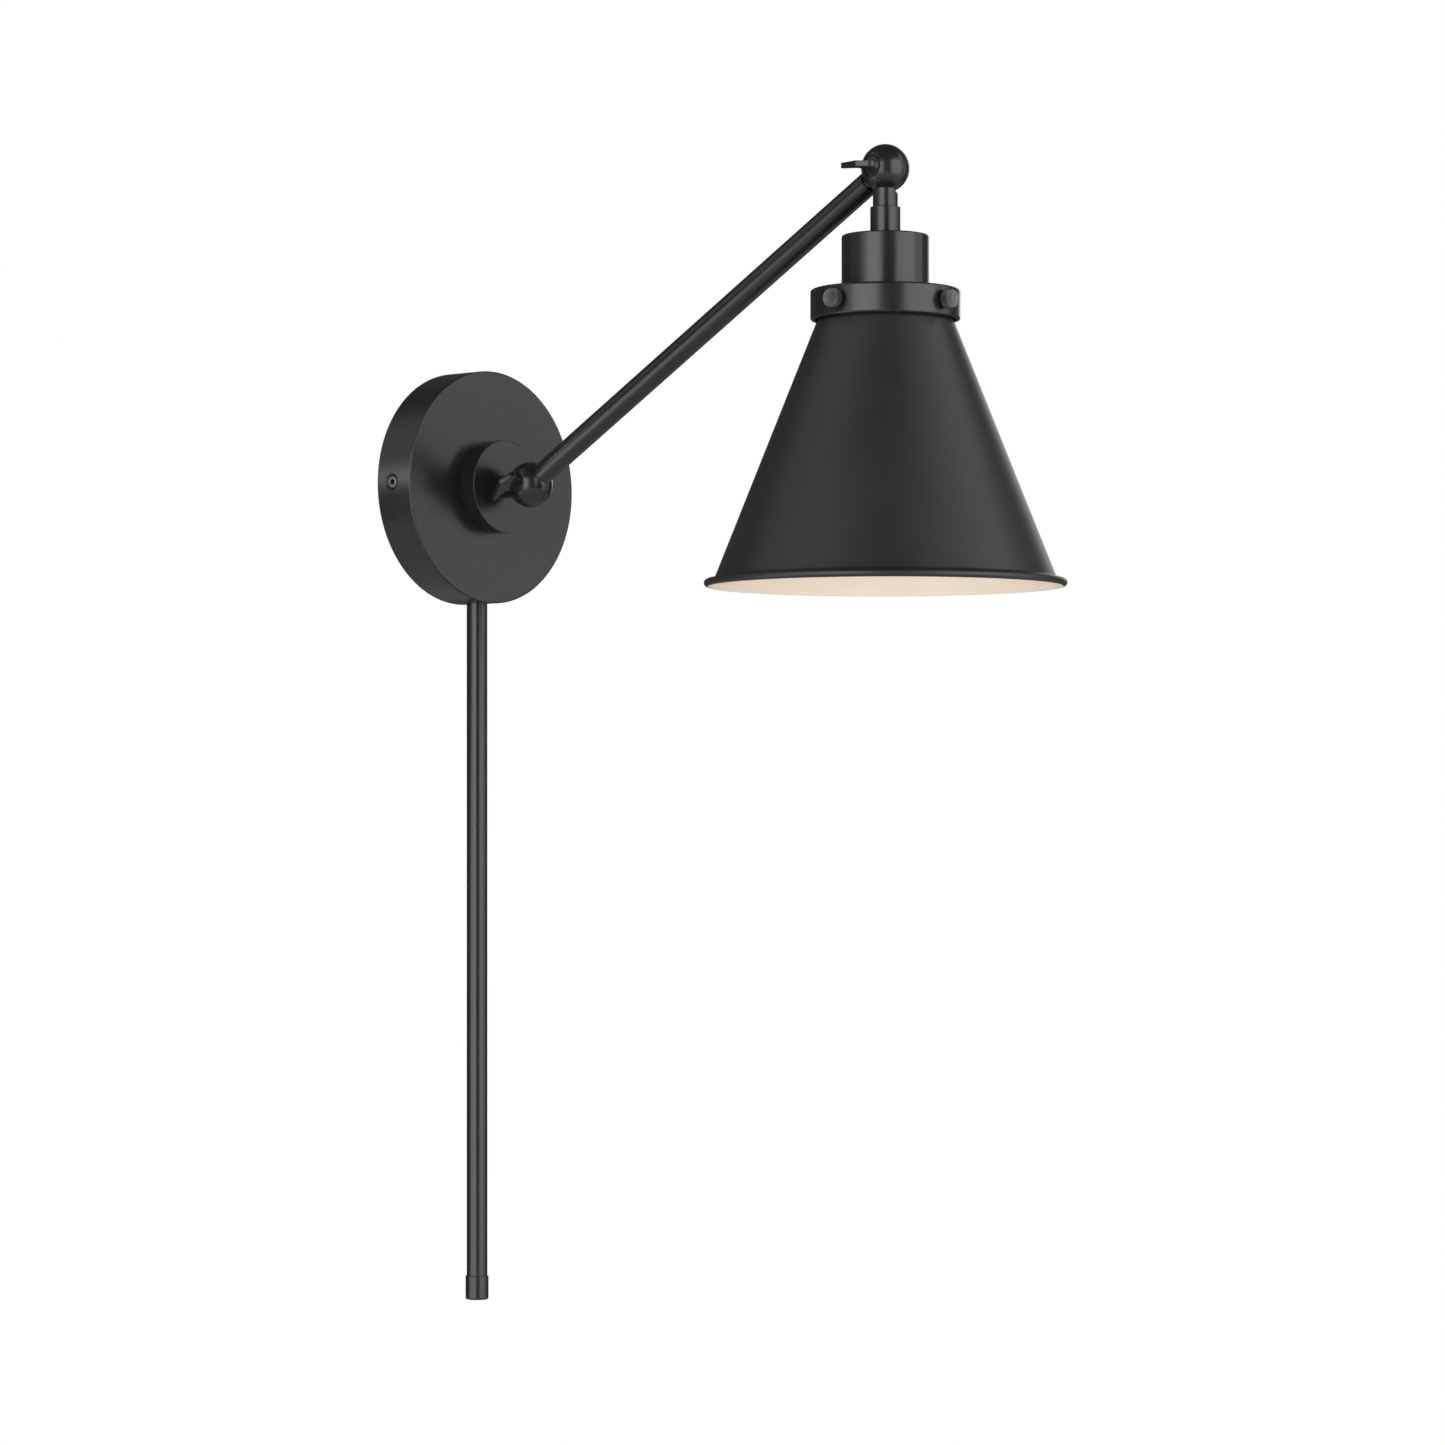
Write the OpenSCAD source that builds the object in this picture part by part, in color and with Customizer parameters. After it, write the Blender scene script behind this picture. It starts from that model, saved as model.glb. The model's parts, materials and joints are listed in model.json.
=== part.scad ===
// Swing arm wall sconce with a split-ball swivel at each end of its arm.
// Origin: centre of the canopy's rear face, on the wall. The wall is the plane y = 0,
// the lamp reaches out along -Y, and +Z is up. Millimetres.

/* [Canopy] */
// Outside diameter of the canopy
canopy_d = 120.65; // [114:0.05:140]
// Depth of the canopy, from the wall to its face
canopy_depth = 23.5; // [23:0.1:34]
// Wall thickness of the canopy
canopy_wall = 2; // [1.6:0.1:2.5]
// Diameter of the hub disc on the canopy's face
hub_d = 48; // [30:1:70]
// Thickness of the hub disc
hub_len = 10; // [6:0.5:14]

/* [Arm] */
// Length of the arm between the two swivel centres
arm_len = 275.4; // [200:1:400]
// Angle of the arm above level, in degrees
arm_rise = 30.5; // [20:0.1:40]
// Outside diameter of the arm tube
tube_d = 11.5; // [11:0.1:12.5]
// Wall thickness of the arm tube
tube_wall = 1; // [0.8:0.1:1.2]

/* [Swivels] */
// Diameter of each split ball
ball_d = 23.3; // [22.5:0.1:26]
// Diameter of the necks that carry the balls
neck_d = 12.1; // [11:0.1:13]
// Distance from the hub's face to the centre of the lower ball
ball_standoff = 17.2; // [16:0.1:24]
// Thickness of each key's plate
key_t = 2.4; // [1.6:0.1:3]
// Width of the straight neck of each key
key_neck_w = 9.4; // [7:0.1:9.6]
// Reach of each key's wing from its screw's axis
key_wing = 13.1; // [10:0.1:14]
// Turn of the lower key about its screw, in degrees
lower_key_turn = -38; // [-180:1:180]
// Turn of the upper key about its screw, in degrees
upper_key_turn = 3; // [-180:1:180]

/* [Head] */
// Diameter of the collar above the socket cup
collar_d = 14.6; // [13:0.1:18]
// Height of the collar above the socket cup
collar_h = 13.7; // [8:0.1:16]
// Outside diameter of the socket cup
cup_d = 42.2; // [40:0.1:46]
// Height of the socket cup
cup_h = 26.2; // [24:0.1:34]
// Outside diameter of the fitter ring
ring_d = 72.3; // [70:0.1:78]
// Height of the fitter ring
ring_h = 14.5; // [13.5:0.1:18]

/* [Shade] */
// Outside diameter over the rolled rim of the shade
shade_d = 174.9; // [140:0.1:220]
// Height of the cone from the fitter ring to the rim
shade_h = 126.5; // [90:0.5:160]
// Outside diameter of the shade's neck
shade_neck_d = 64.4; // [63:0.1:65]
// Sheet thickness of the shade
shade_t = 1; // [0.8:0.1:1.5]
// Radius of the rolled bead
bead_r = 1.85; // [1.5:0.05:2.5]

/* [Cord cover] */
// Outside diameter of the cord cover tube
cover_d = 10.8; // [10.4:0.1:11.4]
// Distance of the cord cover's axis from the wall
cover_y = 12.1; // [11:0.1:13]
// Lowest point of the end cap below the centre of the canopy
cover_drop = 423.2; // [200:1:700]
// Outside diameter of the end cap
cap_d = 12; // [11.9:0.1:14]
// Length of the end cap
cap_h = 12.6; // [11:0.1:20]

/* [Hidden] */
$fn = 96;
EPS = 0.01;
// how far a cutting shape runs past what it cuts
OVER = 1;

// fits: radial clearance of a turning or sliding fit, and the gap at a turning face
FIT = 0.05;
FACE_GAP = 0.1;

// canopy
canopy_r = canopy_d / 2;
canopy_face = 1.8;
canopy_edge = 0.8;
pan_r = canopy_r - canopy_wall;
hub_spigot_d = 20;
hub_edge = 0.4;
side_screw_y = 10.1;
side_screw_d = 6;
side_screw_len = 8.6;
side_screw_sunk = 0.7;
side_screw_mouth_d = 9.3;
side_screw_mouth_deep = 1.4;
side_screw_socket = 3;
side_screw_socket_deep = 3;
side_screw_tip_edge = 0.3;
side_screw_edge = 0.5;

// crossbar behind the canopy
bar_t = 1.6;
bar_w = 20;
ear_w = 14;
ear_reach = 17;
ear_gap = 1.9;
bar_half = pan_r - ear_gap;
bar_eye_d = 16;
box_hole_pitch = 88.9;
box_hole_d = 4.6;
slot_pitch = 69.85;
slot_len = 10;
ground_x = 16;
ground_head_d = 8;
ground_head_h = 2.4;
ground_head_edge = 0.8;
ground_slot_w = 1.2;
ground_slot_deep = 1;
ground_d = 4.8;

// swivels
lower_pivot = [0, -(canopy_depth + hub_len + ball_standoff), 0];
upper_pivot = lower_pivot + arm_len * [0, -cos(arm_rise), sin(arm_rise)];
ball_r = ball_d / 2;
seam = 0.2;
sweep_gap = 0.4;
arm_end_gap = 1.5;
crease = 0.3;
tube_end = 5;
stub_d = 10;
stub_overlap = 3;
stub_past = 8;
wireway_d = 5.4;
wireway_overlap = 1.4;
pocket_d = 16.4;
boss_d = 8.4;
pocket_deep = 5.5;
washer_d = 21.4;
spigot_to = 30;
swivel_washer_t = 0.8;
swivel_nut_t = 4;
nut_af = 14;

// key and its screw, measured from the ball's centre out along the screw
key_screw_d = 4.8;
key_screw_in = 7.5;
key_screw_room = 0.6;
spotface_d = 10.6;
spotface_at = 9.3;
spring_washer_d = 9;
spring_washer_t = 0.6;
key_flange_d = 9.6;
key_flange_t = 0.6;

// outline of a key's plate: [distance along the screw, distance across it, radius] of the
// rounded corners of its head
key_heel = [17.4, -4.2, 3.1];
key_crown = [20.5, 0.1, 2.2];
key_tip_r = 0.8;
key_tip = [17.3, key_wing - key_tip_r, key_tip_r];
key_neck_to = 16;

// head, as depths below the upper ball's centre
neck_to = 18.7;
shoulder_from = 10.6;
shoulder_r = 2.3;
cup_top = neck_to + collar_h;
ring_top = cup_top + cup_h;
ring_bottom = ring_top + ring_h;
collar_edge = 0.4;
cup_wall = 1.4;
cup_roof = 2.4;
cup_edge = 0.9;
stub_to = cup_top + 11.5;
locknut_t = 3;
ring_roof = 2.4;
ring_wall = 2.1;
ring_edge = 1.2;
ring_lip = 1;
socket_d = 33;
socket_hole_d = 33.4;
socket_boss_d = 17;
socket_from = cup_top + 7.5;
socket_boss_h = 6;
socket_mouth = ring_bottom + 15;
socket_chamber_d = 22;
socket_chamber_h = 7;
socket_chamber_roof = 1;
socket_shoulder = 2;
socket_lip = 0.8;
shell_bore_d = 26.5;
shell_t = 0.6;
shell_h = 19.6;
shell_sunk = 2;
contact_room = 4.4;
socket_floor = socket_mouth - shell_sunk - shell_h - contact_room;
retainer_d = 42;
retainer_h = 5;
retainer_edge = 0.8;
contact_w = 7;
contact_len = 14;
contact_t = 0.8;
contact_dome_r = 3;

// fitter screws
thumb_z = ring_top + ring_h / 2;
thumb_d = 4;
thumb_head_d = 9.4;
thumb_head_len = 4.3;
thumb_base_d = 6.4;
thumb_base_len = 1.1;
thumb_chamfer = 0.5;

// shade
shade_top = ring_top + ring_roof;
shade_neck_to = ring_bottom - 1.5;
shade_rim = ring_bottom + shade_h;
neck_lip = 1;
neck_lip_h = 1.2;
bead_at = shade_d / 2 - bead_r;
bead_throw = 1.2;
cone_end = bead_at - bead_r - bead_throw;
cone_to = shade_rim - bead_r;
bead_join = 0.85;

// cord cover
adapter_ring_h = 1.3;
adapter_spigot_d = 9;
adapter_top = 52;
adapter_insert = 9;
adapter_saddle = 0.4;
cover_wall = 1;
cover_nut_af = 12;
cover_nut_t = 3;
cover_nut_gap = 0.5;
cap_bore_d = 6.4;
cap_floor = 4.2;
cap_edge = 1;
cap_mouth_edge = 0.5;

// leads, which stop just clear of each ball
lead_d = 2.2;
lead_from = ball_r + 0.6;
lead_x = 1.3;
lead_inset = 1;
lead_mouth_y = 12;
lead_in_splice = 2;
splice_d = 6;
splice_bore_d = 4.4;
splice_bore_deep = 5;
splice_len = 14;
splice_tip_edge = 1.2;
splice_mouth_edge = 0.4;
splice_top = 24;
splice_x = 8;
splice_y = 9;

// ---- frames -------------------------------------------------------------------

// the child's +Z points away from the wall
module outward() {
    rotate([90, 0, 0]) children();
}

// the child's +Z runs up the arm, from the lower ball's centre
module along_arm() {
    translate(lower_pivot) rotate([90 - arm_rise, 0, 0]) children();
}

// the child's +Z runs down the arm, from the upper ball's centre
module down_arm() {
    translate(upper_pivot) rotate([-90 - arm_rise, 0, 0]) children();
}

// the child's +Z points down, from the upper ball's centre
module down_head() {
    translate(upper_pivot) rotate([180, 0, 0]) children();
}

// the child's +Z points to -X
module keyward() {
    rotate([0, -90, 0]) children();
}

// ---- shared shapes --------------------------------------------------------------

// solid of revolution with rounded lower and upper edges
module turned(r, h, low, high) {
    rotate_extrude() {
        translate([0, low]) square([r, h - low - high]);
        square([r - low, h - high]);
        translate([0, low]) square([r - high, h - low]);
        if (low > 0) translate([r - low, low]) circle(low, $fn = 32);
        if (high > 0) translate([r - high, h - high]) circle(high, $fn = 32);
    }
}

// pipe along +Z
module pipe(outer_d, inner_d, from, to) {
    difference() {
        translate([0, 0, from]) cylinder(d = outer_d, h = to - from);
        translate([0, 0, from - OVER]) cylinder(d = inner_d, h = to - from + 2 * OVER);
    }
}

// hexagon nut along +Z
module hex_nut(across_flats, bore, from, t) {
    difference() {
        translate([0, 0, from]) cylinder(d = across_flats / cos(30), h = t, $fn = 6);
        translate([0, 0, from - OVER]) cylinder(d = bore, h = t + 2 * OVER);
    }
}

// straight round bar between two points
module bar_between(a, b, d) {
    run = b - a;
    reach = norm(run);
    translate(a)
        rotate([0, acos(run[2] / reach), atan2(run[1], run[0])])
            cylinder(d = d, h = reach);
}

// two insulated leads side by side along +Z
module lead_pair(from, to) {
    for (side = [-1, 1])
        translate([0, side * lead_x, from]) cylinder(d = lead_d, h = to - from);
}

// ---- split ball ------------------------------------------------------------------

// all within r of the ball's centre that is not on this half's side of the seam;
// side is -1 for the key half and 1 for the screw half
module other_side(side, r) {
    intersection() {
        sphere(r);
        translate([side < 0 ? -seam : seam - 2 * r, -r, -r]) cube(2 * r);
    }
}

// ring-shaped room for the leads round the screw boss
module wire_pocket(side) {
    rotate([0, side * 90, 0])
        difference() {
            cylinder(d = pocket_d, h = pocket_deep);
            cylinder(d = boss_d, h = pocket_deep + OVER);
        }
}

// hole for the key's screw: right through and spot-faced on the key half,
// tapped and blind on the screw half
module screw_hole(side) {
    if (side < 0) {
        keyward() cylinder(d = key_screw_d + 2 * FIT, h = ball_r);
        keyward() translate([0, 0, spotface_at]) cylinder(d = spotface_d, h = ball_r);
    } else {
        rotate([0, 90, 0]) cylinder(d = key_screw_d + 2 * FIT, h = key_screw_in + key_screw_room);
    }
}

// half ball with a round stem along +Z; gap is the room left for the other half
module half_ball(side, stem_d, stem_to, gap) {
    difference() {
        union() {
            sphere(ball_r);
            cylinder(d = stem_d, h = stem_to);
        }
        other_side(side, ball_r + gap);
        wire_pocket(side);
        screw_hole(side);
        translate([0, 0, pocket_d / 2 - wireway_overlap]) cylinder(d = wireway_d, h = stem_to);
    }
}

// takes away the top of a stem on the other half's side, down to a round shoulder
module shoulder_cut(side, stem_d, from, round_r) {
    to = from + round_r;
    intersection() {
        translate([side < 0 ? -seam : seam - 2 * stem_d, -stem_d, 0])
            cube([2 * stem_d, 2 * stem_d, to]);
        difference() {
            cylinder(d = stem_d + OVER, h = to);
            translate([0, 0, from]) turned(stem_d / 2, 2 * round_r, round_r, 0);
        }
    }
}

// washer between the two halves
module friction_washer() {
    keyward() pipe(washer_d, pocket_d, -seam + FACE_GAP, seam);
}

module spring_washer() {
    keyward()
        pipe(spring_washer_d, key_screw_d + 4 * FIT, spotface_at, spotface_at + spring_washer_t);
}

// where the outer tangent from round corner a to round corner b touches round corner c
function tangent_point(a, b, c) =
    let (
        run = [b[0] - a[0], b[1] - a[1]],
        angle = atan2(run[1], run[0]) - acos((a[2] - b[2]) / norm(run))
    )
    [c[0] + c[2] * cos(angle), c[1] + c[2] * sin(angle)];

// plate with three round corners, given anticlockwise
module rounded_triangle(a, b, c) {
    polygon([
        tangent_point(a, b, a),
        tangent_point(a, b, b),
        tangent_point(b, c, b),
        tangent_point(b, c, c),
        tangent_point(c, a, c),
        tangent_point(c, a, a)
    ]);
    for (corner = [a, b, c])
        translate([corner[0], corner[1]]) circle(corner[2]);
}

// plate of a key, along +X: a straight neck and a lopsided head with one long wing
module key_plan() {
    seat = spotface_at + spring_washer_t + FACE_GAP;
    translate([seat, -key_neck_w / 2]) square([key_neck_to - seat, key_neck_w]);
    rounded_triangle(key_heel, key_crown, key_tip);
}

// key: screw, flange and plate, along -X from the ball's centre
module key(turn) {
    seat = spotface_at + spring_washer_t + FACE_GAP;
    keyward() {
        translate([0, 0, -key_screw_in]) cylinder(d = key_screw_d, h = key_screw_in + seat + EPS);
        translate([0, 0, seat]) cylinder(d = key_flange_d, h = key_flange_t);
    }
    rotate([turn, 0, 0])
        translate([0, 0, -key_t / 2]) linear_extrude(key_t) mirror([1, 0]) key_plan();
}

// ---- canopy ----------------------------------------------------------------------

module mounting_bracket() color("silver") {
    difference() {
        union() {
            translate([-bar_half, -bar_t, -bar_w / 2]) cube([2 * bar_half, bar_t, bar_w]);
            for (side = [-1, 1])
                translate([side < 0 ? -bar_half : bar_half - bar_t, -ear_reach, -ear_w / 2])
                    cube([bar_t, ear_reach, ear_w]);
        }
        outward() translate([0, 0, -OVER]) cylinder(d = bar_eye_d, h = bar_t + 2 * OVER);
        outward() translate([ground_x, 0, -OVER])
            cylinder(d = ground_d + 2 * FIT, h = bar_t + 2 * OVER);
        for (side = [-1, 1]) {
            outward() translate([side * box_hole_pitch / 2, 0, -OVER])
                cylinder(d = box_hole_d, h = bar_t + 2 * OVER);
            outward() translate([side * slot_pitch / 2, 0, -OVER])
                linear_extrude(bar_t + 2 * OVER) {
                    square([slot_len - box_hole_d, box_hole_d], center = true);
                    for (end = [-1, 1])
                        translate([end * (slot_len - box_hole_d) / 2, 0]) circle(d = box_hole_d);
                }
            translate([side * (bar_half - bar_t / 2), -side_screw_y, 0]) rotate([0, 90, 0])
                cylinder(d = side_screw_d + 2 * FIT, h = bar_t + 2 * OVER, center = true);
        }
    }
}

module ground_screw() color("green") outward() translate([ground_x, 0, 0]) {
    difference() {
        translate([0, 0, bar_t]) turned(ground_head_d / 2, ground_head_h, 0, ground_head_edge);
        translate([-ground_head_d / 2, -ground_slot_w / 2, bar_t + ground_head_h - ground_slot_deep])
            cube([ground_head_d, ground_slot_w, ground_slot_deep + OVER]);
    }
    translate([0, 0, FACE_GAP]) cylinder(d = ground_d, h = bar_t);
}

// countersunk clearance hole through the canopy's side, along +Z from the canopy's axis
module side_screw_hole() {
    hole_d = side_screw_d + 4 * FIT;
    widening = (side_screw_mouth_d - hole_d) / side_screw_mouth_deep;
    translate([0, 0, pan_r - 2 * OVER]) cylinder(d = hole_d, h = canopy_wall + 4 * OVER);
    translate([0, 0, canopy_r - side_screw_mouth_deep])
        cylinder(
            d1 = hole_d,
            d2 = side_screw_mouth_d + OVER * widening,
            h = side_screw_mouth_deep + OVER
        );
}

module backplate() color("#242424") {
    difference() {
        outward() turned(canopy_r, canopy_depth, 0, canopy_edge);
        outward() translate([0, 0, -OVER])
            cylinder(r = pan_r, h = canopy_depth - canopy_face + OVER);
        outward() cylinder(d = hub_spigot_d + 2 * FIT, h = canopy_depth + OVER);
        for (side = [-1, 1])
            translate([0, -side_screw_y, 0]) rotate([0, side * 90, 0]) side_screw_hole();
        translate([0, -cover_y, -canopy_r - OVER])
            cylinder(d = adapter_spigot_d + 2 * FIT, h = canopy_wall + 4 * OVER);
    }
}

module side_screws() color("#2e2e2e") for (side = [-1, 1])
    translate([0, -side_screw_y, 0]) rotate([0, side * 90, 0])
        translate([0, 0, canopy_r - side_screw_sunk - side_screw_len])
            difference() {
                turned(side_screw_d / 2, side_screw_len, side_screw_tip_edge, side_screw_edge);
                translate([0, 0, side_screw_len - side_screw_socket_deep])
                    cylinder(
                        d = side_screw_socket / cos(30),
                        h = side_screw_socket_deep + OVER,
                        $fn = 6
                    );
            }

module hub() color("#242424") outward() difference() {
    union() {
        translate([0, 0, canopy_depth]) turned(hub_d / 2, hub_len, 0, hub_edge);
        translate([0, 0, canopy_depth - canopy_face])
            cylinder(d = hub_spigot_d, h = canopy_face + OVER);
    }
    cylinder(d = stub_d + 2 * FIT, h = canopy_depth + hub_len + OVER);
}

module cover_adapter() color("#242424") difference() {
    translate([0, -cover_y, -canopy_r - adapter_ring_h]) {
        difference() {
            cylinder(d = cover_d, h = adapter_ring_h + adapter_saddle);
            translate([0, cover_y, canopy_r + adapter_ring_h])
                outward() cylinder(r = canopy_r, h = canopy_depth);
        }
        cylinder(d = adapter_spigot_d, h = canopy_r + adapter_ring_h - adapter_top);
        translate([0, 0, -adapter_insert])
            cylinder(d = cover_d - 2 * cover_wall - 2 * FIT, h = adapter_insert + OVER);
    }
    translate([0, -cover_y, -canopy_r - adapter_ring_h - adapter_insert - OVER])
        cylinder(d = cap_bore_d, h = canopy_r);
}

module cover_locknut() color("#b8a04a") translate([0, -cover_y, 0])
    hex_nut(cover_nut_af, adapter_spigot_d + 2 * FIT, -pan_r + cover_nut_gap, cover_nut_t);

module cord_cover_tube() color("#242424") translate([0, -cover_y, 0])
    pipe(cover_d, cover_d - 2 * cover_wall,
        -cover_drop + cap_floor, -canopy_r - adapter_ring_h);

module cover_end_cap() color("#242424") translate([0, -cover_y, -cover_drop]) difference() {
    turned(cap_d / 2, cap_h, cap_edge, cap_mouth_edge);
    translate([0, 0, cap_floor]) cylinder(d = cover_d + 2 * FIT, h = cap_h);
    translate([0, 0, -OVER]) cylinder(d = cap_bore_d, h = cap_h);
}

module base_leads() color("#d8d8d0") for (side = [-1, 1])
    bar_between(
        [side * lead_x, -lead_mouth_y, 0],
        [side * splice_x, -splice_y, -splice_top - lead_in_splice],
        lead_d
    );

module splice_caps() color("#e0dccf") for (side = [-1, 1])
    translate([side * splice_x, -splice_y, -splice_top - splice_len]) difference() {
        turned(splice_d / 2, splice_len, splice_tip_edge, splice_mouth_edge);
        translate([0, 0, splice_len - splice_bore_deep])
            cylinder(d = splice_bore_d, h = splice_bore_deep + OVER);
    }

// ---- lower swivel -----------------------------------------------------------------

module swivel_neck() color("#242424") {
    translate(lower_pivot) rotate([-90, 0, 0]) difference() {
        union() {
            half_ball(1, neck_d, ball_standoff - FACE_GAP, sweep_gap);
            translate([0, 0, ball_standoff - stub_overlap])
                cylinder(d = stub_d, h = stub_overlap + hub_len + canopy_face + stub_past);
        }
        translate([0, 0, pocket_d / 2])
            cylinder(d = wireway_d, h = ball_standoff + hub_len + canopy_face + stub_past);
    }
}

module swivel_washer() color("#d9d9d9") outward()
    pipe(nut_af, stub_d + 2 * FIT,
        canopy_depth - canopy_face - FACE_GAP - swivel_washer_t,
        canopy_depth - canopy_face - FACE_GAP);

module swivel_nut() color("#b8a04a") outward()
    hex_nut(nut_af, stub_d + 2 * FIT,
        canopy_depth - canopy_face - FACE_GAP - swivel_washer_t - swivel_nut_t, swivel_nut_t);

module swivel_leads() color("#d8d8d0") translate(lower_pivot) rotate([-90, 0, 0])
    rotate([0, 0, 90])
        lead_pair(lead_from, ball_standoff + hub_len + canopy_face + stub_past - lead_inset);

// ---- arm ----------------------------------------------------------------------------

module lower_arm_ball() color("#242424") along_arm()
    half_ball(-1, tube_d - 2 * tube_wall - 2 * FIT, spigot_to, sweep_gap);

module lower_friction_washer() color("#d9d9d9") translate(lower_pivot) friction_washer();

module lower_spring_washer() color("silver") translate(lower_pivot) spring_washer();

module lower_key() color("#242424") translate(lower_pivot) key(lower_key_turn);

module arm_tube() color("#242424") difference() {
    along_arm() pipe(tube_d, tube_d - 2 * tube_wall, tube_end, arm_len - tube_end);
    along_arm() sphere(ball_r + crease);
    along_arm() other_side(-1, ball_r + sweep_gap);
    down_arm() sphere(ball_r + crease);
    down_arm() other_side(1, ball_r + arm_end_gap);
}

module arm_leads() color("#d8d8d0") along_arm()
    rotate([0, 0, 90]) lead_pair(lead_from, arm_len - ball_r - arm_end_gap);

module upper_arm_ball() color("#242424") down_arm()
    half_ball(1, tube_d - 2 * tube_wall - 2 * FIT, spigot_to, arm_end_gap);

// ---- head ----------------------------------------------------------------------------

module upper_head_ball() color("#242424") down_head() difference() {
    union() {
        half_ball(-1, neck_d, neck_to, sweep_gap);
        translate([0, 0, neck_to - stub_overlap])
            cylinder(d = stub_d, h = stub_to - neck_to + stub_overlap);
    }
    shoulder_cut(-1, neck_d, shoulder_from, shoulder_r);
    translate([0, 0, pocket_d / 2]) cylinder(d = wireway_d, h = stub_to);
}

module upper_friction_washer() color("#d9d9d9") translate(upper_pivot) friction_washer();

module upper_spring_washer() color("silver") translate(upper_pivot) spring_washer();

module upper_key() color("#242424") translate(upper_pivot) key(upper_key_turn);

module neck_collar() color("#242424") down_head() difference() {
    translate([0, 0, neck_to]) turned(collar_d / 2, collar_h, collar_edge, collar_edge);
    cylinder(d = stub_d + 2 * FIT, h = cup_top + OVER);
}

module socket_cup() color("#242424") down_head() difference() {
    translate([0, 0, cup_top]) turned(cup_d / 2, cup_h, cup_edge, 0);
    translate([0, 0, cup_top + cup_roof]) cylinder(d = cup_d - 2 * cup_wall, h = cup_h);
    cylinder(d = stub_d + 2 * FIT, h = ring_top);
}

module socket_locknut() color("#b8a04a") down_head()
    hex_nut(nut_af, stub_d + 2 * FIT, cup_top + cup_roof, locknut_t);

module socket_body() color("#efece4") down_head() difference() {
    union() {
        translate([0, 0, socket_from]) cylinder(d = socket_boss_d, h = socket_boss_h + OVER);
        translate([0, 0, socket_from + socket_boss_h])
            turned(
                socket_d / 2,
                socket_mouth - socket_from - socket_boss_h,
                socket_shoulder,
                socket_lip
            );
    }
    translate([0, 0, socket_from - OVER])
        cylinder(d = stub_d + 2 * FIT, h = socket_boss_h + socket_chamber_roof + 2 * OVER);
    translate([0, 0, socket_from + socket_boss_h + socket_chamber_roof])
        cylinder(d = socket_chamber_d, h = socket_chamber_h);
    translate([0, 0, socket_floor])
        cylinder(d = shell_bore_d + 2 * shell_t + 2 * FIT, h = socket_mouth);
}

module screw_shell() color("#c9a650") down_head()
    pipe(shell_bore_d + 2 * shell_t, shell_bore_d,
        socket_floor + contact_room, socket_mouth - shell_sunk);

module centre_contact() color("#c9a650") down_head()
    translate([0, 0, socket_floor]) {
        translate([-contact_len / 2, -contact_w / 2, 0]) cube([contact_len, contact_w, contact_t]);
        intersection() {
            translate([0, 0, contact_t]) sphere(contact_dome_r);
            cylinder(r = contact_dome_r, h = contact_t + contact_dome_r);
        }
    }

module socket_retainer() color("#efece4") down_head()
    translate([0, 0, ring_top + ring_roof]) difference() {
        turned(retainer_d / 2, retainer_h, 0, retainer_edge);
        translate([0, 0, -OVER]) cylinder(d = socket_d + 2 * FIT, h = retainer_h + 2 * OVER);
    }

module head_leads() color("#d8d8d0") down_head()
    rotate([0, 0, 90]) lead_pair(lead_from, socket_from + socket_boss_h + socket_chamber_h);

module shade_ring() color("#242424") down_head() difference() {
    translate([0, 0, ring_top]) turned(ring_d / 2, ring_h, ring_edge, ring_lip);
    translate([0, 0, ring_top + ring_roof]) cylinder(d = ring_d - 2 * ring_wall, h = ring_h);
    cylinder(d = socket_hole_d, h = ring_bottom);
    for (turn = [0:90:270])
        translate([0, 0, thumb_z]) rotate([0, 90, turn])
            cylinder(d = thumb_d + 2 * FIT, h = ring_d);
}

// fitter screw: shank, base and knurled head, along the direction given by turn
module thumb_screw(turn) {
    color("#2a2a2a") down_head() translate([0, 0, thumb_z]) rotate([0, 0, turn]) rotate([0, 90, 0]) {
        tip = shade_neck_d / 2 + FACE_GAP;
        base = ring_d / 2 + FACE_GAP;
        head = base + thumb_base_len;
        translate([0, 0, tip]) cylinder(d = thumb_d, h = base - tip + EPS);
        translate([0, 0, base]) cylinder(d = thumb_base_d, h = thumb_base_len + EPS);
        translate([0, 0, head]) cylinder(d = thumb_head_d, h = thumb_head_len - thumb_chamfer);
        translate([0, 0, head + thumb_head_len - thumb_chamfer])
            cylinder(d1 = thumb_head_d, d2 = thumb_head_d - 2 * thumb_chamfer, h = thumb_chamfer);
    }
}

module thumb_screw_right() {
    thumb_screw(0);
}

// down_head turns the head's own Y over, so 90 points away from the wall
module thumb_screw_front() {
    thumb_screw(90);
}

module thumb_screw_left() {
    thumb_screw(180);
}

module thumb_screw_back() {
    thumb_screw(270);
}

// spun cone with a straight neck, a small lip at its top and a bead rolled outward
module shade() color("#242424") down_head() rotate_extrude($fn = 180) {
    neck_r = shade_neck_d / 2;
    inner_r = neck_r - shade_t;
    lean = atan((cone_end - neck_r) / (cone_to - shade_neck_to));
    skin = shade_t / cos(lean);
    polygon([
        [inner_r, shade_top],
        [neck_r + neck_lip, shade_top],
        [neck_r + neck_lip, shade_top + neck_lip_h],
        [neck_r, shade_top + neck_lip_h],
        [neck_r, shade_neck_to],
        [cone_end, cone_to],
        [bead_at, shade_rim - bead_r / 2],
        [bead_at, shade_rim + bead_r / 2],
        [bead_at - bead_join * bead_r, shade_rim + bead_r / 2],
        [cone_end - skin, cone_to],
        [inner_r, shade_neck_to]
    ]);
    translate([bead_at, shade_rim]) circle(bead_r, $fn = 48);
}

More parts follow.
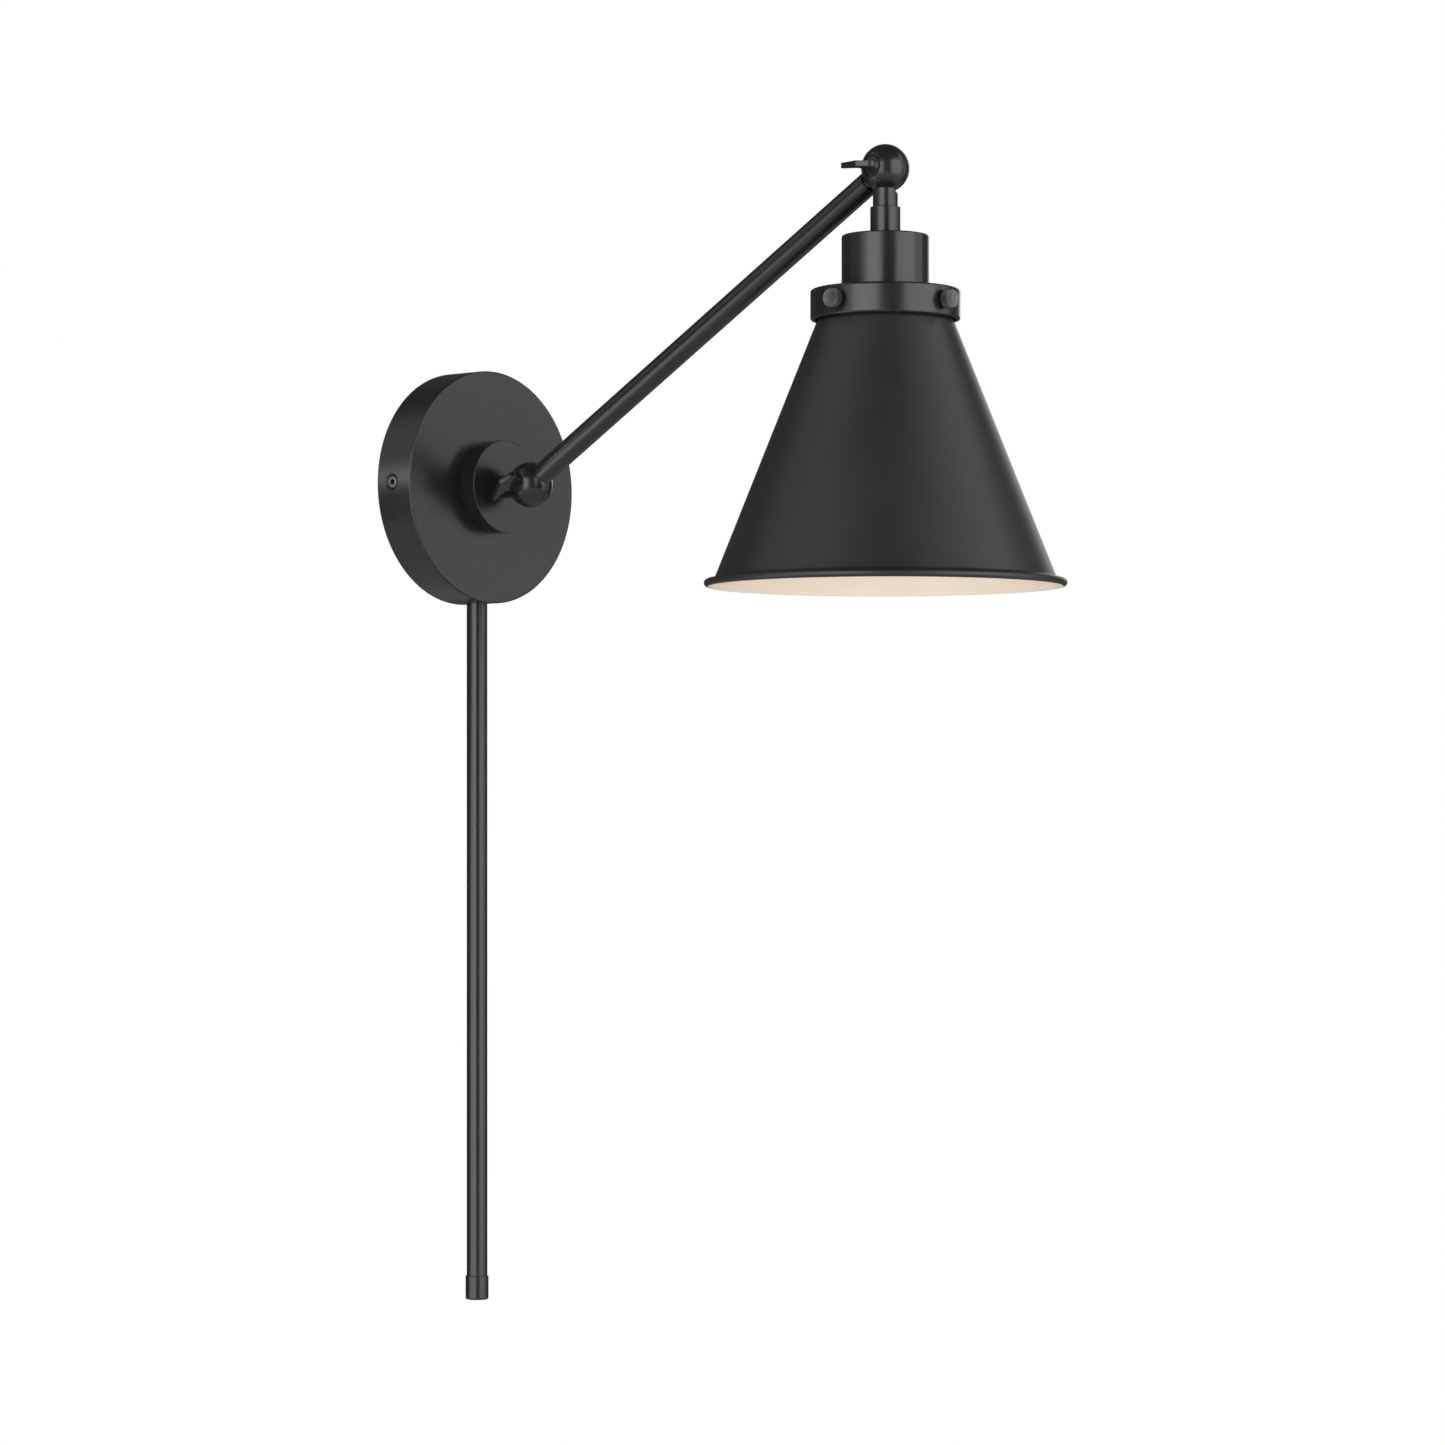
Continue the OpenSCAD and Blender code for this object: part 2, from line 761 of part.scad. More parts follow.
mounting_bracket();
ground_screw();
backplate();
side_screws();
hub();
cover_adapter();
cover_locknut();
cord_cover_tube();
cover_end_cap();
base_leads();
splice_caps();
swivel_neck();
swivel_washer();
swivel_nut();
swivel_leads();
lower_arm_ball();
lower_friction_washer();
lower_spring_washer();
lower_key();
arm_tube();
arm_leads();
upper_arm_ball();
upper_head_ball();
upper_friction_washer();
upper_spring_washer();
upper_key();
neck_collar();
socket_cup();
socket_locknut();
socket_body();
screw_shell();
centre_contact();
socket_retainer();
head_leads();
shade_ring();
shade();
thumb_screw_right();
thumb_screw_front();
thumb_screw_left();
thumb_screw_back();
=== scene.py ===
import json
import math

import bpy
from mathutils import Matrix, Vector


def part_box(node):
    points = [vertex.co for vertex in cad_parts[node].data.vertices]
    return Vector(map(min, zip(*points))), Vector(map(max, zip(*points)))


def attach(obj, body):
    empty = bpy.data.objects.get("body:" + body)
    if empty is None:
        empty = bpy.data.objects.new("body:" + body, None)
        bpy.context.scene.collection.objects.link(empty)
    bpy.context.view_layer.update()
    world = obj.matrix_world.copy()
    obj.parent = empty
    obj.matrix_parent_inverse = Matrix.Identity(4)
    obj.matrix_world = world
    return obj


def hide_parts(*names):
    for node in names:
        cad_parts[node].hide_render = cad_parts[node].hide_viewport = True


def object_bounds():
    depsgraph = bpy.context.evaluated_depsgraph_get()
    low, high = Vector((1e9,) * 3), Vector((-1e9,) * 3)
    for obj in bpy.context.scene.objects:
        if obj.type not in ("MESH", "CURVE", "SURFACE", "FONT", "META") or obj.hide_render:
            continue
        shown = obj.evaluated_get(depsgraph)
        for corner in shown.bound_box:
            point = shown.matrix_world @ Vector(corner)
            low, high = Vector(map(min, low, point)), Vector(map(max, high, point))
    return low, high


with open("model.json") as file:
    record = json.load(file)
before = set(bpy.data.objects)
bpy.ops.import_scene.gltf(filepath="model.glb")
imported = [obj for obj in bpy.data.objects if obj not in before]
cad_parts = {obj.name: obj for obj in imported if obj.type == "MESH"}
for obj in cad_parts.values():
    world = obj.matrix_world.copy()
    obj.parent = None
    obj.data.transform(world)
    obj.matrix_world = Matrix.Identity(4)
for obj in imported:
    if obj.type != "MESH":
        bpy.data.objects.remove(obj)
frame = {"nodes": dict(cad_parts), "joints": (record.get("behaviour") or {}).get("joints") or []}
cad_low, cad_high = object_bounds()

MM = 0.001
ON_AXIS = 0.0001 * MM
nodes = frame["nodes"]
joints = {j["name"]: j for j in frame["joints"]}


# ---- places taken from the frame -----------------------------------------------------

def low(node):
    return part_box(node)[0]


def high(node):
    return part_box(node)[1]


def width(node, axis):
    return high(node)[axis] - low(node)[axis]


LOWER_PIVOT = Vector(joints["arm_tilt"]["pos_m"])
UPPER_PIVOT = Vector(joints["head_tilt"]["pos_m"])

# frames: each maps local +Z to the named direction, from the named point
DOWN_HEAD = Matrix.Translation(UPPER_PIVOT) @ Matrix.Rotation(math.pi, 4, "X")
OUTWARD = Matrix.Rotation(math.pi / 2, 4, "X")


# ---- materials -----------------------------------------------------------------------

def noise(tree, coords, scale, detail, roughness=0.5, stretch=(1, 1, 1)):
    mapping = tree.nodes.new("ShaderNodeMapping")
    mapping.inputs["Scale"].default_value = stretch
    texture = tree.nodes.new("ShaderNodeTexNoise")
    texture.inputs["Scale"].default_value = scale
    texture.inputs["Detail"].default_value = detail
    texture.inputs["Roughness"].default_value = roughness
    tree.links.new(coords.outputs["Object"], mapping.inputs["Vector"])
    tree.links.new(mapping.outputs["Vector"], texture.inputs["Vector"])
    return texture.outputs["Fac"]


def spread(tree, value, start, end):
    """Maps a noise value, which lies mostly from 0.3 to 0.7, to the range from start to end."""
    ramp = tree.nodes.new("ShaderNodeMapRange")
    ramp.inputs["From Min"].default_value = 0.3
    ramp.inputs["From Max"].default_value = 0.7
    ramp.inputs["To Min"].default_value = start
    ramp.inputs["To Max"].default_value = end
    tree.links.new(value, ramp.inputs["Value"])
    return ramp.outputs["Result"]


def finish_material(
    name, dark, light, gloss=(0.4, 0.5), metallic=0.0, mottle=60, grain=1500, bump=0.03,
    depth=0.05 * MM, stretch=(1, 1, 1), specular=0.5, coat=0.0, subsurface=0.0,
):
    """A finish with a mottled colour from dark to light, an uneven gloss and a fine relief."""
    material = bpy.data.materials.new(name)
    material.use_nodes = True
    tree = material.node_tree
    shader = tree.nodes["Principled BSDF"]
    coords = tree.nodes.new("ShaderNodeTexCoord")

    broad = noise(tree, coords, mottle, 4, stretch=stretch)
    fine = noise(tree, coords, grain, 2, 0.6, stretch=stretch)

    colour = tree.nodes.new("ShaderNodeMix")
    colour.data_type = "RGBA"
    colour.inputs["A"].default_value = (*dark, 1)
    colour.inputs["B"].default_value = (*light, 1)
    tree.links.new(spread(tree, broad, 0, 1), colour.inputs["Factor"])
    tree.links.new(colour.outputs["Result"], shader.inputs["Base Color"])

    blend = tree.nodes.new("ShaderNodeMath")
    blend.operation = "ADD"
    tree.links.new(spread(tree, broad, gloss[0], gloss[1]), blend.inputs[0])
    tree.links.new(spread(tree, fine, -0.02, 0.02), blend.inputs[1])
    tree.links.new(blend.outputs["Value"], shader.inputs["Roughness"])

    relief = tree.nodes.new("ShaderNodeBump")
    relief.inputs["Strength"].default_value = bump
    relief.inputs["Distance"].default_value = depth
    tree.links.new(fine, relief.inputs["Height"])
    tree.links.new(relief.outputs["Normal"], shader.inputs["Normal"])

    shader.inputs["Metallic"].default_value = metallic
    shader.inputs["Specular IOR Level"].default_value = specular
    shader.inputs["Coat Weight"].default_value = coat
    shader.inputs["Coat Roughness"].default_value = 0.12
    shader.inputs["Subsurface Weight"].default_value = subsurface
    shader.inputs["Subsurface Radius"].default_value = (0.002, 0.0015, 0.001)
    return material


def grey(value, warmth=1.0):
    return (value * warmth, value, value / warmth)


FINISHES = {
    "satin_black": finish_material(
        "satin_black", grey(0.009), grey(0.0115), gloss=(0.24, 0.28), bump=0.06, depth=0.02 * MM,
        mottle=35, grain=1400, specular=0.5),
    "black_screw": finish_material(
        "black_screw", grey(0.030), grey(0.040), gloss=(0.32, 0.37), bump=0.2, depth=0.01 * MM,
        mottle=200, grain=2500, specular=1.0),
    "shade_enamel": finish_material(
        "shade_enamel", grey(0.0105), grey(0.013), gloss=(0.38, 0.43), bump=0.3, depth=0.03 * MM,
        mottle=25, grain=1100),
    "shade_cream": finish_material(
        "shade_cream", (0.90, 0.785, 0.65), (0.93, 0.815, 0.685), gloss=(0.45, 0.55), bump=0.3,
        depth=0.03 * MM, mottle=20, grain=900),
    "zinc_steel": finish_material(
        "zinc_steel", (0.50, 0.51, 0.50), (0.68, 0.69, 0.70), gloss=(0.28, 0.42), metallic=1.0,
        mottle=180, grain=1600, bump=0.2, depth=0.02 * MM, stretch=(0.15, 1, 1)),
    "green_screw": finish_material(
        "green_screw", (0.04, 0.22, 0.07), (0.08, 0.36, 0.12), gloss=(0.28, 0.4), metallic=0.7,
        mottle=300, grain=2500, bump=0.2, depth=0.02 * MM),
    "brass_nut": finish_material(
        "brass_nut", (0.52, 0.37, 0.14), (0.68, 0.52, 0.24), gloss=(0.25, 0.38), metallic=1.0,
        mottle=250, grain=2600, bump=0.25, depth=0.02 * MM),
    "brass_shell": finish_material(
        "brass_shell", (0.60, 0.43, 0.17), (0.76, 0.58, 0.27), gloss=(0.2, 0.34), metallic=1.0,
        mottle=120, grain=2000, bump=0.2, depth=0.02 * MM),
    "lead_insulation": finish_material(
        "lead_insulation", (0.62, 0.61, 0.56), (0.72, 0.71, 0.66), gloss=(0.4, 0.5), mottle=200,
        grain=1800, bump=0.2, depth=0.03 * MM),
    "splice_plastic": finish_material(
        "splice_plastic", (0.60, 0.56, 0.46), (0.70, 0.66, 0.56), gloss=(0.35, 0.45), mottle=150,
        grain=1500, bump=0.2, depth=0.03 * MM, subsurface=0.15),
    "washer_nylon": finish_material(
        "washer_nylon", grey(0.03), grey(0.05), gloss=(0.5, 0.6), mottle=200, grain=1800,
        bump=0.3, depth=0.02 * MM),
    "porcelain": finish_material(
        "porcelain", (0.74, 0.71, 0.64), (0.80, 0.78, 0.72), gloss=(0.22, 0.32), mottle=70,
        grain=700, bump=0.25, depth=0.05 * MM, coat=0.6, subsurface=0.1),
}
FLOOR_MATERIAL = finish_material(
    "pale_floor", (0.76, 0.76, 0.75), (0.82, 0.82, 0.81), gloss=(0.75, 0.85), mottle=3, grain=120,
    bump=0.05, depth=0.2 * MM)

for node in nodes.values():
    for material_slot in node.material_slots:
        material_slot.material = FINISHES[material_slot.material.name]


# ---- mesh building -------------------------------------------------------------------

def make_piece(name, verts, faces, body, slot, node, place=None, materials=None, crease=35):
    """A smooth-shaded mesh piece that rides on a body and stands for a CAD node.
    place maps its vertices to the row frame; materials lists its materials, in slot order."""
    mesh = bpy.data.meshes.new(name)
    mesh.from_pydata([tuple(place @ Vector(v)) if place else v for v in verts], [], faces)
    for material in materials or [FINISHES[slot]]:
        mesh.materials.append(material)
    mesh.validate()
    for polygon in mesh.polygons:
        polygon.use_smooth = True
    mesh.set_sharp_from_angle(angle=math.radians(crease))
    piece = bpy.data.objects.new(name, mesh)
    bpy.context.scene.collection.objects.link(piece)
    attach(piece, body)
    if node:
        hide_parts(node)
    return piece


def rounded(corners, steps=5):
    """A profile through corners, each (radius, height) or (radius, height, fillet)."""
    profile = []
    for i, corner in enumerate(corners):
        here = Vector(corner[:2])
        fillet = corner[2] if len(corner) > 2 else 0
        if not fillet:
            profile.append(tuple(here))
            continue
        back = (Vector(corners[i - 1][:2]) - here).normalized()
        ahead = (Vector(corners[i + 1][:2]) - here).normalized()
        half = back.angle(ahead) / 2
        reach = fillet / math.tan(half)
        start, end = here + back * reach, here + ahead * reach
        centre = here + (back + ahead).normalized() * (fillet / math.sin(half))
        a, b = start - centre, end - centre
        turn = a.angle_signed(b)
        for k in range(steps + 1):
            spoke = Matrix.Rotation(-turn * k / steps, 2) @ a
            profile.append(tuple(centre + spoke))
    return profile


def revolve(profile, segments=96, modulate=None, closed=False):
    """Vertices and faces of a profile turned about +Z. modulate(radius, height, angle) gives
    a new radius, for knurls, flutes and threads."""
    verts, faces = [], []
    for r, z in profile:
        for k in range(segments):
            angle = 2 * math.pi * k / segments
            reach = modulate(r, z, angle) if modulate else r
            verts.append((reach * math.cos(angle), reach * math.sin(angle), z))
    count = len(profile)
    for i in range(count if closed else count - 1):
        for k in range(segments):
            n = (k + 1) % segments
            j = (i + 1) % count
            faces.append((i * segments + k, i * segments + n, j * segments + n, j * segments + k))
    return verts, faces


def joined(*parts):
    """One set of vertices and faces from several."""
    verts, faces = [], []
    for part_verts, part_faces in parts:
        faces += [tuple(i + len(verts) for i in face) for face in part_faces]
        verts += part_verts
    return verts, faces


def swept(path, radius, segments=16):
    """A round bar along a smooth path."""
    verts, faces = [], []
    points = [Vector(p) for p in path]
    across = Vector((1, 0, 0))
    for i, point in enumerate(points):
        along = (points[min(i + 1, len(points) - 1)] - points[max(i - 1, 0)]).normalized()
        across = (across - along * across.dot(along)).normalized()
        other = along.cross(across)
        for k in range(segments):
            angle = 2 * math.pi * k / segments
            offset = across * math.cos(angle) + other * math.sin(angle)
            verts.append(tuple(point + radius * offset))
    for i in range(len(points) - 1):
        for k in range(segments):
            n = (k + 1) % segments
            faces.append((
                i * segments + k, i * segments + n, (i + 1) * segments + n, (i + 1) * segments + k))
    faces.append(tuple(reversed(range(segments))))
    faces.append(tuple((len(points) - 1) * segments + k for k in range(segments)))
    return verts, faces


# ---- shade: spun cone, black outside and cream inside --------------------------------

SHADE_NECK_R = 32.2 * MM
SHADE_T = 1.0 * MM
SHADE_LIP = 1.0 * MM
SHADE_LIP_H = 1.2 * MM
BEAD_R = 1.85 * MM
NECK_BEND = 4 * MM
RIM_FLARE = 2.6 * MM
SHADE_SEGMENTS = 192


def cone_z(depth_world):
    """Height in the head's own frame, which runs down from the upper pivot."""
    return UPPER_PIVOT.z - depth_world


shade_top = cone_z(high("shade").z)
rim = cone_z(low("shade").z) - BEAD_R
bead_at = width("shade", 0) / 2 - BEAD_R
neck_to = cone_z(low("shade_ring").z) - 1.5 * MM
foot_r = bead_at - BEAD_R - 1.2 * MM
foot_z = rim - BEAD_R
lean = math.atan((foot_r - SHADE_NECK_R) / (foot_z - neck_to))
skin = SHADE_T / math.cos(lean)


def bead(start, end, steps):
    """Points round the rolled bead, by angle in degrees from straight outward."""
    angles = [math.radians(start + (end - start) * k / steps) for k in range(steps + 1)]
    return [(bead_at + BEAD_R * math.cos(a), rim + BEAD_R * math.sin(a)) for a in angles]


outside = rounded([
    (SHADE_NECK_R - SHADE_T, shade_top),
    (SHADE_NECK_R + SHADE_LIP, shade_top, 0.3 * MM),
    (SHADE_NECK_R + SHADE_LIP, shade_top + SHADE_LIP_H, 0.2 * MM),
    (SHADE_NECK_R, shade_top + SHADE_LIP_H, 0.2 * MM),
    (SHADE_NECK_R, neck_to, NECK_BEND),
    (foot_r, foot_z, RIM_FLARE),
    (bead_at - 0.55 * BEAD_R, rim - 0.84 * BEAD_R),
], steps=7) + bead(-118, 90, 22)
inside = bead(90, 162, 8) + rounded([
    (bead_at - 0.96 * BEAD_R, rim - 0.1 * BEAD_R),
    (foot_r - skin + 0.35 * MM, foot_z + 0.35 * MM, 1.2 * MM),
    (SHADE_NECK_R - SHADE_T, neck_to + 0.4 * MM, NECK_BEND),
    (SHADE_NECK_R - SHADE_T, shade_top),
], steps=7)

outer_verts, outer_faces = revolve(outside, SHADE_SEGMENTS)
inner_verts, inner_faces = revolve(inside, SHADE_SEGMENTS)
shade_verts, shade_faces = joined((outer_verts, outer_faces), (inner_verts, inner_faces))
shade = make_piece(
    "shade_shell", shade_verts, shade_faces, "head", "shade_enamel", "shade", DOWN_HEAD,
    materials=[FINISHES["shade_enamel"], FINISHES["shade_cream"]])
for polygon in shade.data.polygons[len(outer_faces):]:
    polygon.material_index = 1


# ---- fitter screws: knurled heads ----------------------------------------------------

KNURL_COUNT = 36
KNURL_DEPTH = 0.42 * MM
HEAD_R = 4.7 * MM
HEAD_LEN = 4.3 * MM
HEAD_CHAMFER = 0.5 * MM
SCREW_NECK_R = 3.2 * MM
SCREW_NECK_LEN = 1.1 * MM
SHANK_R = 2 * MM


def knurl(r, z, angle):
    """Rounded straight knurls on the head's rim, fading over its chamfers."""
    if r < HEAD_R - HEAD_CHAMFER * 0.6:
        return r
    wave = 0.5 + 0.5 * math.cos(KNURL_COUNT * angle)
    return r - KNURL_DEPTH * (1 - wave ** 0.7)


for side in ("right", "front", "left", "back"):
    joint = joints["thumb_turn_" + side]
    centre = Vector(joint["pos_m"])
    axis = Vector(joint["axis"])
    node = "thumb_screw_" + side
    along = 0 if abs(axis.x) > 0.5 else 1
    far = high(node)[along] if axis[along] > 0 else low(node)[along]
    near = low(node)[along] if axis[along] > 0 else high(node)[along]
    face = abs(far - centre[along])
    tip = abs(near - centre[along])
    head_from = face - HEAD_LEN
    base_from = head_from - SCREW_NECK_LEN
    profile = rounded([
        (ON_AXIS, tip),
        (SHANK_R - 0.4 * MM, tip),
        (SHANK_R, tip + 0.4 * MM),
        (SHANK_R, base_from),
        (SCREW_NECK_R, base_from, 0.2 * MM),
        (SCREW_NECK_R, head_from, 0.2 * MM),
        (HEAD_R - HEAD_CHAMFER, head_from),
        (HEAD_R, head_from + 0.7 * HEAD_CHAMFER, 0.15 * MM),
        (HEAD_R, face - 0.8 * HEAD_CHAMFER, 0.15 * MM),
        (HEAD_R - HEAD_CHAMFER, face, 0.12 * MM),
        (HEAD_R - 0.9 * MM, face),
        (HEAD_R - 1.1 * MM, face - 0.08 * MM),
        (ON_AXIS, face - 0.08 * MM),
    ], steps=3)
    verts, faces = revolve(profile, KNURL_COUNT * 6, knurl)
    aim = Matrix.Translation(centre) @ axis.to_track_quat("Z", "Y").to_matrix().to_4x4()
    make_piece(
        node + "_knurled", verts, faces, "thumb_" + side, "black_screw", node, aim, crease=30)


# ---- keys: screw, flange and a bevelled plate ----------------------------------------

KEY_SCREW_R = 2.4 * MM
KEY_SCREW_IN = 7.5 * MM
KEY_SEAT = 10.0 * MM
KEY_FLANGE_R = 4.8 * MM
KEY_FLANGE_T = 0.6 * MM
KEY_NECK_HALF = 4.7 * MM
KEY_T = 2.7 * MM
KEY_BEVEL = 0.3 * MM
KEY_NOTCH = 0.35 * MM
KEY_HEEL_FROM = 14.9 * MM
KEY_HEEL_NOTCH = 13.6 * MM
LOWER_KEY_TURN = math.radians(-38)
UPPER_KEY_TURN = math.radians(3)

# round corners of a key's head, as (distance along the screw, distance across it, radius)
KEY_HEEL = (17.4 * MM, -4.2 * MM, 3.1 * MM)
KEY_CROWN = (20.5 * MM, 0.1 * MM, 2.2 * MM)
KEY_TIP = (17.3 * MM, 12.3 * MM, 0.8 * MM)


def tangent_angle(a, b):
    """Direction, from either centre, of the outer tangent from round corner a to b."""
    run = (b[0] - a[0], b[1] - a[1])
    return math.atan2(run[1], run[0]) - math.acos((a[2] - b[2]) / math.hypot(*run))


def key_outline():
    """Outline of a key's plate, anticlockwise, as (along, across): neck, notch and head."""
    corners = (KEY_HEEL, KEY_CROWN, KEY_TIP)
    head = []
    for i, corner in enumerate(corners):
        start = tangent_angle(corners[i - 1], corner)
        end = tangent_angle(corner, corners[(i + 1) % 3])
        sweep = (end - start) % (2 * math.pi)
        steps = max(4, round(sweep / math.radians(9)))
        head += [
            (corner[0] + corner[2] * math.cos(start + sweep * k / steps),
             corner[1] + corner[2] * math.sin(start + sweep * k / steps))
            for k in range(steps + 1)]
    start, end = head[0], head[-1]

    def back_edge(across):
        """A point on the head's straight back edge, which runs from the tip to the heel."""
        part = (across - start[1]) / (end[1] - start[1])
        return start[0] + (end[0] - start[0]) * part

    heel_side = [
        point for point in head if point[1] <= -KEY_NECK_HALF or point[0] >= KEY_HEEL_FROM]
    neck = [
        (back_edge(KEY_NECK_HALF) - KEY_NOTCH, KEY_NECK_HALF - KEY_NOTCH),
        (back_edge(KEY_NECK_HALF) - 3 * KEY_NOTCH, KEY_NECK_HALF),
        (KEY_SEAT, KEY_NECK_HALF),
        (KEY_SEAT, -KEY_NECK_HALF),
        (KEY_HEEL_NOTCH, -KEY_NECK_HALF),
        (KEY_HEEL_NOTCH + 2 * KEY_NOTCH, -KEY_NECK_HALF + KEY_NOTCH),
    ]
    return heel_side + neck


def inset(points, distance):
    """The outline moved inward by a distance, for the plate's bevel."""
    moved = []
    count = len(points)
    for i, here in enumerate(points):
        here = Vector(here)
        back = (here - Vector(points[i - 1])).normalized()
        ahead = (Vector(points[(i + 1) % count]) - here).normalized()
        side = Vector((-(back.y + ahead.y), back.x + ahead.x)).normalized()
        moved.append(tuple(here + side * distance))
    return moved


def bevelled_plate(outline, thickness, bevel):
    """A flat plate in the plane across local y, its edges rounded over the bevel."""
    verts, faces = [], []
    half = thickness / 2
    rings = []
    for degrees in (90, 60, 30, 0):
        a = math.radians(degrees)
        rings.append((bevel * (1 - math.cos(a)), -(half - bevel) - bevel * math.sin(a)))
    rings += [(depth, -y) for depth, y in reversed(rings)]
    for depth, y in rings:
        verts += [(across, y, along) for along, across in inset(outline, depth)]
    count = len(outline)
    for i in range(len(rings) - 1):
        for k in range(count):
            n = (k + 1) % count
            faces.append((i * count + k, (i + 1) * count + k, (i + 1) * count + n, i * count + n))
    faces.append(tuple(range(count)))
    faces.append(tuple((len(rings) - 1) * count + k for k in reversed(range(count))))
    return verts, faces


for node, pivot, turn in (
    ("lower_key", LOWER_PIVOT, LOWER_KEY_TURN), ("upper_key", UPPER_PIVOT, UPPER_KEY_TURN),
):
    stem = revolve(rounded([
        (ON_AXIS, -KEY_SCREW_IN),
        (KEY_SCREW_R - 0.5 * MM, -KEY_SCREW_IN),
        (KEY_SCREW_R, -KEY_SCREW_IN + 0.5 * MM),
        (KEY_SCREW_R, KEY_SEAT),
        (KEY_FLANGE_R, KEY_SEAT, 0.1 * MM),
        (KEY_FLANGE_R, KEY_SEAT + KEY_FLANGE_T, 0.2 * MM),
        (ON_AXIS, KEY_SEAT + KEY_FLANGE_T),
    ], steps=4), 64)
    turned = Matrix.Rotation(turn, 4, "X")
    keyward = Matrix(((0, 0, -1, 0), (1, 0, 0, 0), (0, 1, 0, 0), (0, 0, 0, 1)))
    place = Matrix.Translation(pivot) @ turned @ keyward
    verts, faces = joined(stem, bevelled_plate(key_outline(), KEY_T, KEY_BEVEL))
    make_piece(node + "_plate", verts, faces, node, "satin_black", node, place, crease=28)


# ---- screw shell: rolled thread ------------------------------------------------------

THREAD_PITCH = 25.4 * MM / 7
THREAD_WAVE = 0.28 * MM
SHELL_STEPS = 60

shell_outer = width("screw_shell", 0) / 2
shell_top = cone_z(high("screw_shell").z)
shell_mouth = cone_z(low("screw_shell").z)


def rolled(r, z, angle):
    """A rolled lamp thread that fades out at both ends of the shell."""
    fade = min(1, (z - shell_top) / (2 * MM), (shell_mouth - z) / (1.5 * MM))
    return r + THREAD_WAVE * max(0, fade) * math.sin(2 * math.pi * z / THREAD_PITCH + angle)


shell_heights = [
    shell_top + (shell_mouth - shell_top) * k / SHELL_STEPS for k in range(SHELL_STEPS + 1)]
shell_profile = [(shell_outer - THREAD_WAVE, z) for z in shell_heights]
shell_profile += [(shell_outer - THREAD_WAVE - 0.3 * MM, z) for z in reversed(shell_heights)]
verts, faces = revolve(shell_profile, 96, rolled, closed=True)
make_piece("screw_shell_rolled", verts, faces, "head", "brass_shell", "screw_shell", DOWN_HEAD)


# ---- threads that show inside the canopy ---------------------------------------------

def thread(name, body, slot, place, core_r, depth, pitch, start, end):
    """A screw thread's ridges, standing just proud of a round core."""
    steps = max(8, round((end - start) / pitch * 8))
    heights = [start + (end - start) * k / steps for k in range(steps + 1)]

    def ridges(r, z, angle):
        fade = min(1, (z - start) / pitch, (end - z) / pitch)
        wave = 0.5 + 0.5 * math.sin(2 * math.pi * z / pitch + angle)
        return r + depth * max(0, fade) * wave

    verts, faces = revolve([(core_r, z) for z in heights], 64, ridges)
    return make_piece(name, verts, faces, body, slot, None, place)


STUB_R = 5 * MM
ADAPTER_R = 4.5 * MM
THREAD_SUNK = 0.02 * MM
thread(
    "swivel_stub_thread", "swivel", "satin_black", OUTWARD, STUB_R - THREAD_SUNK, 0.25 * MM, 1 * MM,
    -high("swivel_neck").y + 0.3 * MM, -high("swivel_nut").y - 0.05 * MM)
adapter_at = (low("cover_adapter") + high("cover_adapter")) / 2
thread(
    "adapter_thread", "base", "satin_black",
    Matrix.Translation((adapter_at.x, adapter_at.y, 0)), ADAPTER_R - THREAD_SUNK, 0.22 * MM, 1 * MM,
    high("cover_locknut").z + 0.05 * MM, high("cover_adapter").z - 0.3 * MM)


# ---- leads and splices inside the canopy ---------------------------------------------

LEAD_R = 1.1 * MM
LEAD_APART = 1.3 * MM
FLUTES = 12
FLUTE_DEPTH = 0.22 * MM


def bezier(a, b, c, d, count):
    points = []
    for k in range(count + 1):
        t = k / count
        s = 1 - t
        points.append(a * s ** 3 + b * 3 * s * s * t + c * 3 * s * t * t + d * t ** 3)
    return points


splice_low, splice_high = low("splice_caps"), high("splice_caps")
splice_r = (splice_high.y - splice_low.y) / 2
splice_x = splice_high.x - splice_r
splice_y = (splice_high.y + splice_low.y) / 2
lead_mouth_y = low("base_leads").y + LEAD_R
lead_parts, cap_parts = [], []


def flutes(r, z, angle):
    """Round flutes down the outside of a splice cap."""
    if r < splice_r * 0.6:
        return r
    return r - FLUTE_DEPTH * (0.5 + 0.5 * math.cos(FLUTES * angle))


for side in (-1, 1):
    start = Vector((side * LEAD_APART, lead_mouth_y, 0))
    end = Vector((side * splice_x, splice_y, splice_high.z - 4 * MM))
    path = bezier(start, start + Vector((side * 0.5 * MM, 7 * MM, -1 * MM)),
                  end + Vector((side * 1 * MM, 1 * MM, 14 * MM)), end, 24)
    lead_parts.append(swept(path, LEAD_R))

    shell, holes = revolve(rounded([
        (ON_AXIS, splice_low.z),
        (splice_r * 0.62, splice_low.z, 0.8 * MM),
        (splice_r * 0.98, splice_high.z - 2.6 * MM, 0.5 * MM),
        (splice_r * 0.98, splice_high.z, 0.4 * MM),
        (splice_r * 0.72, splice_high.z, 0.2 * MM),
        (splice_r * 0.5, splice_high.z - 5 * MM),
        (ON_AXIS, splice_high.z - 5 * MM),
    ], steps=4), FLUTES * 8, flutes)
    cap_parts.append(([(x + side * splice_x, y + splice_y, z) for x, y, z in shell], holes))
make_piece("base_leads_bent", *joined(*lead_parts), "base", "lead_insulation", "base_leads")
make_piece("splice_caps_fluted", *joined(*cap_parts), "base", "splice_plastic", "splice_caps")


# ---- floor, lights and camera --------------------------------------------------------

PX = 1 / 1445
CAMERA_AT = Vector((-1.6736, -1.6655, -0.1840))
CAMERA_YAW = math.radians(-48.47)
FLOOR_DROP = 0.36
FLOOR_R = 2.0

